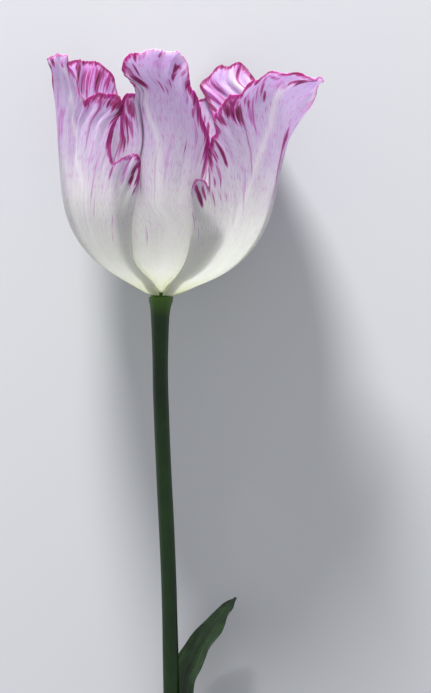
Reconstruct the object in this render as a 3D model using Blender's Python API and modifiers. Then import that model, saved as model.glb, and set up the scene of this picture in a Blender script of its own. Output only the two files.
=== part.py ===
# A cut tulip with waved petals, lying on a table.
# The flower is modelled standing: +Z runs up its stem and -Y faces the viewer.
# An empty then lays it down, so that it rests on two petal lobes and on the foot of its stem.

import math

import bmesh
import bpy
from mathutils import Matrix, Vector

# Lengths are in millimetres and angles in degrees, and MM turns them to metres.
MM = 0.001
COLLECTION = "cut_tulip"

# How the flower lies: the rise of its axis from the table, and the bloom's lean to the right.
RISE = 6.2
BLOOM_LEAN = 3.9

# Where the bloom's foot stands, so that the origin is under the middle of the whole flower.
BLOOM_FOOT_X = -7.88
BLOOM_FOOT_Y = 95.38

# The cup that all petals share: a vein leaves the receptacle at BASE_SLOPE, measured from
# level, and steepens to WALL_SLOPE between two distances along it.
VEIN_FOOT_RADIUS = 3.6
VEIN_FOOT_HEIGHT = 0.5
BASE_SLOPE = 27.0
WALL_SLOPE = 82.5
BEND_FROM = 8.0
BEND_TO = 50.0
VEIN_STEP = 1.0

# Outer petals lie outside that cup and inner ones inside it, by this much at foot and wall.
LAYER_AT_FOOT = 0.5
LAYER_AT_WALL = 0.8
LAYER_REACH = 20.0
PETAL_THICKNESS = 0.65

# Creases start this far along a vein and reach their depth this much further on.
CREASE_FROM = 0.3
CREASE_REACH = 0.5

# Waves of a margin that flares: height, steps of a margin list for each wave, the part of
# the vein where they start and the flare that brings them out in full.
WAVE_HEIGHT = 0.55
WAVE_STEPS = 1.7
WAVE_FROM = 0.72
WAVE_FLARE = 12.0

# Rows of facets along a vein, which crowd towards the margin.
PETAL_ROWS = 10
ROW_CROWDING = 1.25

# The petal that the flower lies on.
LOWEST_PETAL = "tepal_outer_back"

# A petal is a fan of veins from its foot to every point of its margin. Each margin point is
# the end of one vein: its azimuth (0 faces the viewer, + is to the right), the vein's
# length, how far its end flares outwards, and over what length.
# The sides are the rows, from the foot up, that bound the petal to either hand at each
# distance from the foot. The veins that reach that distance spread evenly between them.
# A crease is the place in the margin list, its half width there, and its depth (+ is outwards).
PETALS = {
    "tepal_inner_front": {
        "layer": -1,
        "foot": (-53, 47),
        "sides": [(*range(0, 8), *range(9, 13)), range(26, 14, -1)],
        "columns": 38,
        "creases": [(8.8, 0.8, -1.0), (14.0, 2.0, 0.5), (17.5, 0.8, -0.5), (11.5, 0.8, 0.5)],
        "margin": [
            (-33, 10, 0, 12),
            (-34, 20, 0, 12),
            (-31, 32, 0, 12),
            (-31, 44, 0, 12),
            (-32, 54, 0, 12),
            (-28, 63, 2, 14),
            (-27.5, 73, 4, 14),
            (-23.5, 77, 6, 14),
            (-19, 77, 6, 14),
            (-19.5, 79.5, 16, 14),
            (-24.5, 83.5, 26, 14),
            (-23.5, 88, 34, 16),
            (-18, 92, 42, 16),
            (-10, 93.5, 46, 17),
            (-4, 94, 46, 18),
            (1, 93, 44, 18),
            (4.5, 90, 40, 18),
            (6, 84.5, 32, 16),
            (7.5, 80.5, 24, 14),
            (11, 77.5, 14, 12),
            (15.5, 70, 8, 12),
            (20.5, 63, 3, 12),
            (21, 54, 0, 12),
            (20, 43, 0, 12),
            (38, 34, 0, 12),
            (37, 20, 0, 12),
            (29, 10, 0, 12),
        ],
    },
    "tepal_outer_left": {
        "layer": 1,
        "foot": (-8, -108),
        "sides": [(*range(0, 8), *range(12, 16), *range(21, 24)), range(32, 23, -1)],
        "columns": 44,
        "creases": [(18.6, 1.1, -1.2), (24.0, 1.6, 0.6), (13.5, 1.5, 0.4)],
        "margin": [
            (-14, 7, 0, 12),
            (-21, 13, 0, 12),
            (-25, 20, 0, 12),
            (-22.5, 28, 0, 12),
            (-19.7, 38, 0, 12),
            (-15.7, 48, 3, 12),
            (-15, 54, 6, 12),
            (-15.5, 57.3, 8, 12),
            (-19, 58.2, 6, 12),
            (-25, 56.5, 4, 12),
            (-30.5, 54.5, 2, 12),
            (-32, 60, 4, 12),
            (-29, 67, 5, 12),
            (-24.7, 72, 8, 12),
            (-25, 75.5, 12, 12),
            (-29, 77, 14, 12),
            (-36, 77.3, 14, 12),
            (-44, 75.5, 12, 12),
            (-49, 73.5, 8, 12),
            (-52, 76, 8, 12),
            (-54, 82, 14, 14),
            (-55, 87, 24, 14),
            (-57, 89.5, 28, 14),
            (-62, 90, 28, 14),
            (-70, 89, 26, 14),
            (-79, 87.5, 18, 14),
            (-84, 78, 6, 12),
            (-92, 66, 3, 12),
            (-98, 54, 0, 12),
            (-100, 42, 0, 12),
            (-99, 30, 0, 12),
            (-96, 20, 0, 12),
            (-93, 11, 0, 12),
        ],
    },
    "tepal_outer_right": {
        "layer": 1,
        "foot": (8, 96),
        "sides": [(*range(0, 7), *range(12, 21)), range(32, 21, -1)],
        "columns": 46,
        "creases": [(17.0, 1.1, -1.2), (21.0, 1.4, 0.5), (13.5, 1.6, 0.5)],
        "margin": [
            (12, 7, 0, 12),
            (17, 14, 0, 12),
            (18, 22, 0, 12),
            (16.5, 32, 0, 12),
            (14.5, 41, 0, 12),
            (12.5, 47.7, 3, 12),
            (14.5, 51.3, 6, 12),
            (19, 51, 4, 12),
            (22.5, 47.9, 0, 12),
            (20.8, 55, 0, 12),
            (19.5, 61, 4, 12),
            (20, 64.5, 6, 12),
            (22, 66.5, 6, 12),
            (20, 71, 8, 12),
            (22, 75.5, 14, 10),
            (27, 79.5, 24, 10),
            (32, 81, 32, 10),
            (37, 85, 42, 11),
            (42, 89, 54, 12),
            (49, 92, 66, 14),
            (57, 93.5, 72, 17),
            (63, 94, 70, 21),
            (67, 93.5, 60, 25),
            (71, 90.5, 48, 27),
            (76, 82, 34, 26),
            (83, 71, 8, 18),
            (87, 64, 4, 12),
            (91, 60, 0, 12),
            (92, 50, 0, 12),
            (91, 38, 0, 12),
            (88, 26, 0, 12),
            (84, 16, 0, 12),
            (80, 9, 0, 12),
        ],
    },
    "tepal_outer_back": {
        "layer": 1,
        "foot": (122, 238),
        "sides": [range(0, 9), range(23, 14, -1)],
        "columns": 34,
        "creases": [(11.5, 1.5, -0.4), (5.5, 1.2, -0.4), (17.5, 1.2, -0.4)],
        "margin": [
            (130, 9, 0, 12),
            (124, 18, 0, 12),
            (120, 30, 0, 12),
            (119, 44, 0, 12),
            (122, 58, 0, 12),
            (130, 66, 2, 12),
            (140, 73, 8, 12),
            (149, 79, 30, 18),
            (155, 85, 44, 22),
            (162, 82, 30, 18),
            (170, 77, 8, 14),
            (177, 80, 3, 14),
            (184, 80, 3, 14),
            (191, 76, 8, 14),
            (197, 76, 32, 18),
            (204, 80, 48, 22),
            (211, 76, 32, 18),
            (220, 71, 8, 12),
            (230, 66, 2, 12),
            (237, 58, 0, 12),
            (240, 44, 0, 12),
            (239, 30, 0, 12),
            (236, 18, 0, 12),
            (230, 9, 0, 12),
        ],
    },
    "tepal_inner_left": {
        "layer": -1,
        "foot": (-70, -170),
        "sides": [range(0, 10), range(20, 11, -1)],
        "columns": 32,
        "creases": [(10.0, 1.5, 0.5), (12.3, 0.8, -0.7), (7.5, 1.0, -0.5)],
        "margin": [
            (-82, 10, 0, 12),
            (-74, 20, 0, 12),
            (-71, 32, 0, 12),
            (-72, 46, 0, 12),
            (-80, 60, 0, 12),
            (-86, 73, 5, 12),
            (-91, 80, 12, 12),
            (-102, 85, 8, 12),
            (-112, 86, 12, 12),
            (-120, 87, 14, 12),
            (-128, 87.5, 14, 12),
            (-135, 87.5, 12, 12),
            (-141, 86, 8, 12),
            (-147, 83, 6, 12),
            (-150, 77, 3, 12),
            (-156, 69, 0, 12),
            (-161, 60, 0, 12),
            (-164, 46, 0, 12),
            (-164, 32, 0, 12),
            (-160, 20, 0, 12),
            (-152, 10, 0, 12),
        ],
    },
    "tepal_inner_right": {
        "layer": -1,
        "foot": (67, 167),
        "sides": [range(0, 12), range(23, 13, -1)],
        "columns": 34,
        "creases": [(11.0, 0.9, -0.9), (14.0, 1.4, 0.5), (8.0, 1.5, 0.4)],
        "margin": [
            (85, 10, 0, 12),
            (77, 20, 0, 12),
            (73, 32, 0, 12),
            (73, 46, 0, 12),
            (78, 60, 0, 12),
            (88, 70, 3, 12),
            (100, 77, 6, 12),
            (115, 81, 6, 12),
            (130, 83, 8, 12),
            (139, 85, 12, 12),
            (144, 88, 16, 12),
            (149, 90, 16, 12),
            (154, 89, 14, 12),
            (159, 89, 14, 12),
            (164, 86, 12, 12),
            (168, 82, 8, 12),
            (164, 77.5, 4, 12),
            (160, 72.5, 0, 12),
            (156, 66, 0, 12),
            (153, 54, 0, 12),
            (156, 43, 0, 12),
            (158, 32, 0, 12),
            (155, 20, 0, 12),
            (149, 10, 0, 12),
        ],
    },
}

# Stem: its sideways place and its radius down its height, then the receptacle on top. Its
# rings lie on the collar's rows and then one STEM_STEP apart.
STEM_PATH = [
    (0.0, -0.65),
    (-0.3, -8.0),
    (-0.2, -26.0),
    (0.2, -40.0),
    (0.95, -58.0),
    (1.9, -77.0),
    (2.65, -97.0),
    (3.1, -117.0),
    (3.5, -135.0),
    (4.2, -165.0),
    (4.6, -200.0),
    (4.7, -235.0),
    (4.4, -270.0),
]
STEM_FOOT_RADIUS = 2.9
STEM_RADII = [
    (-0.65, 3.9),
    (-1.7, 3.85),
    (-4.0, 3.3),
    (-8.0, 2.9),
    (-14.0, 2.65),
    (-26.0, 2.45),
    (-100.0, 2.45),
    (-117.0, 2.55),
    (-170.0, 2.7),
    (-270.0, STEM_FOOT_RADIUS),
]
STEM_STEP = 10.0
STEM_QUARTER = 4
COLLAR_ROWS = 6
RECEPTACLE = [(1.3, 2.7), (0.9, 3.25), (-0.5, 3.25)]

# Leaf: for each station its midrib's place, half its width, the radius that it curls to
# across, and the bearing of the midrib from the hollow side (0 is +X, 90 is away).
LEAF_THICKNESS = 0.8
LEAF_ROWS = 22
LEAF_COLUMNS = 8
LEAF = [
    (7.67, 1.78, -198.0, 6.9, 3.55, 30),
    (7.65, 1.85, -185.0, 7.5, 3.7, 30),
    (7.9, 2.2, -168.0, 8.6, 4.6, 32),
    (8.0, 3.4, -150.0, 9.5, 6.5, 38),
    (7.6, 4.8, -136.0, 9.6, 9.0, 40),
    (8.4, 6.0, -124.5, 8.4, 12.0, 34),
    (12.3, 7.2, -114.0, 6.8, 16.0, 34),
    (17.4, 8.6, -105.5, 4.8, 20.0, 34),
    (21.4, 9.8, -100.0, 2.6, 25.0, 34),
    (24.0, 10.6, -97.0, 0.5, 30.0, 34),
]

# Pistil: height and radius of the ovary and the stigma, and how three-lobed each is.
PISTIL = [
    (1.7, 1.4, 0.0),
    (3.0, 2.1, 0.04),
    (6.0, 3.0, 0.08),
    (12.0, 3.4, 0.1),
    (18.0, 3.2, 0.1),
    (21.5, 2.5, 0.08),
    (22.8, 2.4, 0.15),
    (24.2, 3.6, 0.3),
    (25.6, 3.6, 0.34),
    (26.0, 2.2, 0.3),
    (25.6, 0.9, 0.1),
]
PISTIL_SIDES = 18

STAMENS = 6
FIRST_STAMEN = -3.0
FILAMENT_QUARTER = 2
FILAMENT = [(2.75, 1.75, 0.55), (3.5, 4.2, 0.6), (4.8, 8.0, 0.55), (6.1, 12.0, 0.4)]
ANTHER_CENTRE = (6.9, 18.4)
ANTHER_HALF = (1.15, 1.5, 6.0)
ANTHER_LEAN = 6.0
ANTHER_GROOVE = 0.22
ANTHER_SIDES = 10
ANTHER_RINGS = 8

COLOURS = {
    "petal": ((0.84, 0.76, 0.84), 0.5),
    "stem": ((0.05, 0.16, 0.04), 0.45),
    "leaf": ((0.06, 0.20, 0.05), 0.5),
    "pistil": ((0.62, 0.66, 0.30), 0.5),
    "filament": ((0.80, 0.76, 0.55), 0.5),
    "anther": ((0.06, 0.03, 0.09), 0.8),
}


def smooth(x):
    x = min(1.0, max(0.0, x))
    return x * x * (3.0 - 2.0 * x)


def between(rows, place):
    """Every value of a list of rows at a place between two of them, with no overshoot."""
    last = len(rows) - 1
    first = min(last - 1, max(0, int(place)))
    f = place - first

    def slope(column, row):
        if row == 0:
            return column[1] - column[0]
        if row == last:
            return column[last] - column[last - 1]
        before = column[row] - column[row - 1]
        after = column[row + 1] - column[row]
        if before * after <= 0.0:
            return 0.0
        return 2.0 * before * after / (before + after)

    values = []
    for column in zip(*rows):
        start = column[first] * (2 * f**3 - 3 * f**2 + 1) + slope(column, first) * (f**3 - 2 * f**2 + f)
        end = column[first + 1] * (3 * f**2 - 2 * f**3) + slope(column, first + 1) * (f**3 - f**2)
        values.append(start + end)
    return values


def at_height(rows, key, height):
    """The row values where column `key`, which only falls or only rises, has this height."""
    low, high = 0.0, len(rows) - 1.0
    falling = rows[0][key] > rows[-1][key]
    for _ in range(40):
        middle = 0.5 * (low + high)
        if (between(rows, middle)[key] > height) == falling:
            low = middle
        else:
            high = middle
    return between(rows, low)


def material(name):
    colour, roughness = COLOURS[name]
    made = bpy.data.materials.get(name)
    if made is None:
        made = bpy.data.materials.new(name)
        made.use_nodes = True
        shader = made.node_tree.nodes["Principled BSDF"]
        shader.inputs["Base Color"].default_value = (*colour, 1.0)
        shader.inputs["Roughness"].default_value = roughness
        shader.inputs["Metallic"].default_value = 0.0
    return made


def add_object(name, data, parent, look):
    piece = bpy.data.objects.new(name, data)
    bpy.data.collections[COLLECTION].objects.link(piece)
    piece.parent = parent
    data.materials.append(material(look))
    return piece


def add_empty(name, parent):
    empty = bpy.data.objects.new(name, None)
    bpy.data.collections[COLLECTION].objects.link(empty)
    empty.parent = parent
    return empty


def side_rows(petal):
    """Azimuth, distance from the foot and margin place up each of a petal's two sides."""
    margin = petal["margin"]
    sides = []
    for foot_azimuth, rows in zip(petal["foot"], petal["sides"]):
        up_the_side = [(margin[i][0], margin[i][1], i) for i in rows]
        sides.append([(foot_azimuth, 0.0, rows[0])] + up_the_side)
    return sides


def spread_azimuth(sides, place, run):
    first_azimuth, _, first_place = at_height(sides[0], 1, run)
    last_azimuth, _, last_place = at_height(sides[1], 1, run)
    part = (place - first_place) / (last_place - first_place)
    return first_azimuth + (last_azimuth - first_azimuth) * part


def vein_point(petal, sides, across, along):
    """One point of a petal's middle surface, in millimetres from the bloom's foot."""
    margin = petal["margin"]
    place = across * (len(margin) - 1)
    end_azimuth, length, flare, reach = between(margin, place)
    steps = max(12, round(length / VEIN_STEP))
    run = length * along
    step = run / steps
    radius = VEIN_FOOT_RADIUS
    height = VEIN_FOOT_HEIGHT
    for i in range(steps):
        slope = vein_slope((i + 0.5) * step, length, flare, reach)
        radius += math.cos(slope) * step
        height += math.sin(slope) * step
    slope = vein_slope(run, length, flare, reach)
    lift = petal["layer"] * (LAYER_AT_FOOT + (LAYER_AT_WALL - LAYER_AT_FOOT) * smooth(run / LAYER_REACH))
    for crease, half_width, depth in petal["creases"]:
        fold = math.exp(-((place - crease) / half_width) ** 2)
        lift += depth * fold * smooth((along - CREASE_FROM) / CREASE_REACH)
    free = smooth(flare / WAVE_FLARE) * smooth((along - WAVE_FROM) / (1.0 - WAVE_FROM))
    lift += WAVE_HEIGHT * free * math.sin(2.0 * math.pi * place / WAVE_STEPS)
    azimuth = spread_azimuth(sides, place, run)
    azimuth += (end_azimuth - spread_azimuth(sides, place, length)) * along**2
    azimuth = math.radians(azimuth)
    radius += lift * math.sin(slope)
    height -= lift * math.cos(slope)
    return Vector((radius * math.sin(azimuth), -radius * math.cos(azimuth), height))


def vein_slope(run, length, flare, reach):
    bend = smooth((run - BEND_FROM) / (BEND_TO - BEND_FROM))
    curl = flare * smooth((run - length + reach) / reach)
    return math.radians(BASE_SLOPE + (WALL_SLOPE - BASE_SLOPE) * bend - curl)


def sheet(name, columns, rows, place):
    """An open triangulated grid whose points place(across, along) gives in millimetres."""
    bm = bmesh.new()
    bmesh.ops.create_grid(bm, x_segments=columns, y_segments=rows, size=1.0)
    for vert in bm.verts:
        across = 0.5 + 0.5 * vert.co.x
        along = 0.5 + 0.5 * vert.co.y
        vert.co = place(across, along) * MM
    bmesh.ops.triangulate(bm, faces=bm.faces)
    mesh = bpy.data.meshes.new(name)
    bm.to_mesh(mesh)
    bm.free()
    mesh.shade_smooth()
    return mesh


def thicken(piece, thickness):
    shell = piece.modifiers.new("thickness", "SOLIDIFY")
    shell.thickness = thickness * MM
    shell.offset = 0.0


def add_petal(name, petal, bloom):
    sides = side_rows(petal)

    def place(across, along):
        return vein_point(petal, sides, across, 1.0 - (1.0 - along) ** ROW_CROWDING)

    mesh = sheet(name, petal["columns"], PETAL_ROWS, place)
    piece = add_object(name, mesh, bloom, "petal")
    thicken(piece, PETAL_THICKNESS)
    return piece


def press_on_table(piece):
    """Flattens what would reach below the table, and keeps the blade's thickness there."""
    bpy.context.view_layer.update()
    solid = bpy.data.meshes.new_from_object(piece.evaluated_get(bpy.context.evaluated_depsgraph_get()))
    piece.modifiers.clear()
    to_world = piece.matrix_world
    count = len(solid.vertices) // 2
    for outer, inner in [(i, i + count) for i in range(count)] + [(i + count, i) for i in range(count)]:
        low = to_world @ solid.vertices[outer].co
        high = to_world @ solid.vertices[inner].co
        if low.z < 0.0 and low.z < high.z:
            low.z = 0.0
            high.z = max(high.z, PETAL_THICKNESS * MM)
            solid.vertices[outer].co = to_world.inverted() @ low
            solid.vertices[inner].co = to_world.inverted() @ high
    piece.data = solid


def tube(name, points, radii, look, parent, sides_each_quarter):
    """A round tapered tube through points given in millimetres."""
    curve = bpy.data.curves.new(name, "CURVE")
    curve.dimensions = "3D"
    curve.bevel_depth = MM
    curve.bevel_resolution = sides_each_quarter
    curve.use_fill_caps = True
    spline = curve.splines.new("POLY")
    spline.points.add(len(points) - 1)
    for point, place, radius in zip(spline.points, points, radii):
        point.co = (*(Vector(place) * MM), 1.0)
        point.radius = radius
    return add_object(name, curve, parent, look)


def add_stem(flower):
    points = []
    radii = []
    for height, radius in RECEPTACLE:
        points.append((0.0, 0.0, height))
        radii.append(radius)
    heights = [height for height, _ in STEM_RADII[:COLLAR_ROWS]]
    foot = STEM_RADII[-1][0]
    top = heights[-1]
    lengths = round((top - foot) / STEM_STEP)
    heights += [top + (foot - top) * (i + 1) / lengths for i in range(lengths)]
    for height in heights:
        aside, _ = at_height(STEM_PATH, 1, height)
        points.append((aside, 0.0, height))
        radii.append(at_height(STEM_RADII, 0, height)[1])
    return tube("stem", points, radii, "stem", flower, STEM_QUARTER)


def leaf_point(across, along):
    place = along * (len(LEAF) - 1)
    x, y, z, half_width, curl, bearing = between(LEAF, place)
    near = 0.05
    ahead = Vector(between(LEAF, min(len(LEAF) - 1, place + near))[:3])
    behind = Vector(between(LEAF, max(0, place - near))[:3])
    tangent = (ahead - behind).normalized()
    bearing = math.radians(bearing)
    back = Vector((math.cos(bearing), math.sin(bearing), 0.0))
    back = (back - tangent * back.dot(tangent)).normalized()
    side = tangent.cross(back)
    turn = (2.0 * across - 1.0) * half_width / curl
    return Vector((x, y, z)) + back * curl * (math.cos(turn) - 1.0) + side * curl * math.sin(turn)


def add_leaf(flower):
    piece = add_object("leaf", sheet("leaf", LEAF_COLUMNS, LEAF_ROWS, leaf_point), flower, "leaf")
    thicken(piece, LEAF_THICKNESS)
    return piece


def add_pistil(bloom):
    bm = bmesh.new()
    rings = len(PISTIL) + 1
    bmesh.ops.create_uvsphere(bm, u_segments=PISTIL_SIDES, v_segments=rings, radius=1.0)
    for vert in bm.verts:
        polar = math.acos(max(-1.0, min(1.0, -vert.co.z)))
        ring = polar / math.pi * rings - 1.0
        height, radius, lobes = PISTIL[min(len(PISTIL) - 1, max(0, round(ring)))]
        azimuth = math.atan2(vert.co.y, vert.co.x)
        if ring < -0.5 or ring > len(PISTIL) - 0.5:
            radius = 0.0
        radius *= 1.0 + lobes * math.cos(3.0 * azimuth)
        vert.co = Vector((radius * math.cos(azimuth), radius * math.sin(azimuth), height)) * MM
    mesh = bpy.data.meshes.new("pistil")
    bm.to_mesh(mesh)
    bm.free()
    mesh.shade_smooth()
    return add_object("pistil", mesh, bloom, "pistil")


def anther_mesh():
    """A long pod with a groove down each broad side, which all six anthers share."""
    bm = bmesh.new()
    bmesh.ops.create_uvsphere(bm, u_segments=ANTHER_SIDES, v_segments=ANTHER_RINGS, radius=1.0)
    for vert in bm.verts:
        azimuth = math.atan2(vert.co.y, vert.co.x)
        groove = 1.0 - ANTHER_GROOVE * math.cos(azimuth) ** 4
        thick, wide, long = ANTHER_HALF
        vert.co = Vector((vert.co.x * thick * groove, vert.co.y * wide, vert.co.z * long)) * MM
    mesh = bpy.data.meshes.new("anther")
    bm.to_mesh(mesh)
    bm.free()
    mesh.shade_smooth()
    mesh.materials.append(material("anther"))
    return mesh


def add_stamens(bloom):
    pod = anther_mesh()
    for i in range(STAMENS):
        azimuth = math.radians(FIRST_STAMEN + 360.0 * i / STAMENS)
        out = Vector((math.sin(azimuth), -math.cos(azimuth), 0.0))
        path = [out * radius + Vector((0.0, 0.0, height)) for radius, height, _ in FILAMENT]
        radii = [row[2] for row in FILAMENT]
        tube(f"filament_{i + 1}", path, radii, "filament", bloom, FILAMENT_QUARTER)
        anther = bpy.data.objects.new(f"anther_{i + 1}", pod)
        bpy.data.collections[COLLECTION].objects.link(anther)
        anther.parent = bloom
        radius, height = ANTHER_CENTRE
        anther.location = (out * radius + Vector((0.0, 0.0, height))) * MM
        turn = Matrix.Rotation(math.atan2(out.y, out.x), 3, "Z")
        lean = Matrix.Rotation(math.radians(ANTHER_LEAN), 3, "Y")
        anther.rotation_euler = (turn @ lean).to_euler()


def build():
    for leftover in list(bpy.data.objects):
        bpy.data.objects.remove(leftover, do_unlink=True)
    collection = bpy.data.collections.new(COLLECTION)
    bpy.context.scene.collection.children.link(collection)

    flower = add_empty("lying_flower", None)
    rise = math.radians(RISE)
    flower.rotation_euler = (rise - math.radians(90.0), 0.0, 0.0)
    foot = -STEM_RADII[-1][0]
    lift = foot * math.sin(rise) + STEM_FOOT_RADIUS * math.cos(rise)
    flower.location = Vector((BLOOM_FOOT_X, BLOOM_FOOT_Y, lift)) * MM
    bloom = add_empty("bloom_axis", flower)
    bloom.rotation_euler.y = math.radians(BLOOM_LEAN)

    add_stem(flower)
    add_leaf(flower)
    for name, petal in PETALS.items():
        piece = add_petal(name, petal, bloom)
        if name == LOWEST_PETAL:
            press_on_table(piece)
    add_pistil(bloom)
    add_stamens(bloom)


build()
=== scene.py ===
import bisect
import math
from functools import partial

import bmesh
import bpy
from mathutils import Matrix, Vector, kdtree, noise


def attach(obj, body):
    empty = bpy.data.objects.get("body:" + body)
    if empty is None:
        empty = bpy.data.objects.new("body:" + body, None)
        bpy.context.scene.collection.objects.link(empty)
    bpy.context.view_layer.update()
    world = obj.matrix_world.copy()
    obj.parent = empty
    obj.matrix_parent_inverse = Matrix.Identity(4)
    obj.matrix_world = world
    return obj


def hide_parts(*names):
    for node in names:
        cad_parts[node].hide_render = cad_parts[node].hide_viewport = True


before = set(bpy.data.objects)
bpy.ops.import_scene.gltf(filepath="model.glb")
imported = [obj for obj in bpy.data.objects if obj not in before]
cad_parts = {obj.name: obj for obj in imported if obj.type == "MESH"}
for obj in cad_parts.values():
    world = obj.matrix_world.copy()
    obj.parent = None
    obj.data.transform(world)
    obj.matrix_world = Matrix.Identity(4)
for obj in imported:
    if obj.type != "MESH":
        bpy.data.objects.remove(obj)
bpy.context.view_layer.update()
print("cut tulip: frame loaded")

mm = 0.001

# How the flower lies. It is drawn standing, +Z up its stem and -Y towards the viewer.
lying = {
    "rise": 6.2,             # degrees from the table up to the flower's axis
    "bloomLean": 3.9,        # degrees to the right
    "foot": (-7.88, 95.38),  # where the bloom's foot lies
    "stemLength": 270.0,
    "stemFoot": 2.9,         # the stem's radius at its cut
}


def smooth(x):
    x = min(1.0, max(0.0, x))
    return x * x * (3.0 - 2.0 * x)


# every value of a list of rows at a place between two of them, with no overshoot
def between(rows, place):
    last = len(rows) - 1
    first = min(last - 1, max(0, int(place)))
    f = place - first

    def slope(column, row):
        if row == 0:
            return column[1] - column[0]
        if row == last:
            return column[last] - column[last - 1]
        before = column[row] - column[row - 1]
        after = column[row + 1] - column[row]
        if before * after <= 0.0:
            return 0.0
        return 2.0 * before * after / (before + after)

    values = []
    for column in zip(*rows):
        start = column[first] * (2 * f**3 - 3 * f**2 + 1)
        start += slope(column, first) * (f**3 - 2 * f**2 + f)
        end = column[first + 1] * (3 * f**2 - 2 * f**3)
        end += slope(column, first + 1) * (f**3 - f**2)
        values.append(start + end)
    return values


def noiseAt(*place):
    return noise.noise(Vector(place))


# from the standing flower in millimetres to the table in metres
def layingDown():
    rise = math.radians(lying["rise"])
    lift = lying["stemLength"] * math.sin(rise) + lying["stemFoot"] * math.cos(rise)
    place = Matrix.Translation(Vector((*lying["foot"], lift)) * mm)
    return place @ Matrix.Rotation(rise - math.radians(90.0), 4, "X") @ Matrix.Scale(mm, 4)


flowerPlace = layingDown()
bloomPlace = flowerPlace @ Matrix.Rotation(math.radians(lying["bloomLean"]), 4, "Y")


def hexColour(text):
    channels = [int(text[i : i + 2], 16) / 255.0 for i in (1, 3, 5)]
    return [c / 12.92 if c <= 0.04045 else ((c + 0.055) / 1.055) ** 2.4 for c in channels] + [1.0]


# adds a node with its settings, and sets or links its inputs. A node given for an input
# stands for its first output in use. Inputs 6 and 7 of a Mix node are its two colours.
def addNode(tree, kind, inputs, ramp=(), **settings):
    node = tree.nodes.new("ShaderNode" + kind)
    for name, value in settings.items():
        setattr(node, name, value)
    for _ in ramp[2:]:
        node.color_ramp.elements.new(0.5)
    for i, (position, colour) in enumerate(ramp):
        stop = node.color_ramp.elements[i]
        stop.position = position
        grey = (colour, colour, colour, 1.0)
        stop.color = hexColour(colour) if isinstance(colour, str) else grey
    for name, value in inputs.items():
        if isinstance(value, bpy.types.Node):
            value = next(output for output in value.outputs if output.enabled)
        if isinstance(value, bpy.types.NodeSocket):
            tree.links.new(value, node.inputs[name])
        else:
            node.inputs[name].default_value = value
    return node


# an empty material, and the function that adds nodes to it
def newMaterial(name):
    made = bpy.data.materials.new(name)
    made.use_nodes = True
    made.node_tree.nodes.clear()
    return made, partial(addNode, made.node_tree)


def finishMaterial(made, shader):
    addNode(made.node_tree, "OutputMaterial", {"Surface": shader})
    return made


def newObject(name, data):
    made = bpy.data.objects.new(name, data)
    bpy.context.scene.collection.objects.link(made)
    return made


def finishMesh(bm, name):
    mesh = bpy.data.meshes.new(name)
    bm.to_mesh(mesh)
    bm.free()
    return mesh


# spots are the vertices' places in the UV
def finishSheet(bm, name, layer, spots, transform):
    for face in bm.faces:
        for loop in face.loops:
            loop[layer].uv = spots[loop.vert.index]
    bmesh.ops.triangulate(bm, faces=bm.faces)
    bm.transform(transform)
    return finishMesh(bm, name)


# the share of its full thickness that a sheet has this far inside its edge
def edgeShare(shape, inside):
    full, thin = shape["thickness"], shape["edgeThickness"]
    return (thin + (full - thin) * smooth(inside / shape["edgeWidth"])) / full


def newPiece(mesh, material, slot, *nodes):
    piece = newObject(mesh.name, mesh)
    mesh.materials.clear()
    mesh.materials.append(material)
    mesh.shade_smooth()
    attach(piece, "root")
    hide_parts(*nodes)
    return piece


# turns a sheet into a blade, thinner where its vertex group says so
def thicken(piece, thickness):
    piece.vertex_groups.new(name="thickness")
    shell = piece.modifiers.new("thickness", "SOLIDIFY")
    shell.thickness = thickness * mm
    shell.offset = 0.0
    shell.vertex_group = "thickness"


# the cup's form and its sheets: millimetres, degrees, and shares of a vein's length
cup = {
    "footRadius": 3.6,
    "footHeight": 0.5,
    "baseSlope": 27.0,
    "wallSlope": 82.5,
    "bend": (8.0, 50.0),
    "layerAtFoot": 0.5,
    "layerAtWall": 0.8,
    "layerReach": 20.0,
    "creaseFrom": 0.3,
    "creaseReach": 0.5,
    "waveHeight": 0.55,
    "waveSteps": 1.7,
    "waveFrom": 0.72,
    "waveFlare": 12.0,
    "thickness": 0.65,
    "edgeThickness": 0.38,
    "edgeWidth": 3.0,
    "columns": 360,
    "rows": 60,
    "crowding": 1.25,        # draws the rows of the sheet towards the margin
    "rowSteps": 3,
    "sideSteps": 24,
    "notchHeight": 0.3,      # fine notching of the margins
    "notchHeld": 0.35,       # the share of it where the margin isn't free
    "notches": 2.6,
    "fineNotches": 6.0,
    "fineShare": 0.8,
    "frillHeight": 0.56,
    "frillReach": 6.0,
    "frills": 3.1,
    "plainEnd": (0, 12),     # the flare and its length of a margin row that gives none
    "placeWidth": 0.28,      # a place of the margin, in the centimetres of the UV
    "runScale": 0.1,
}

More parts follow.
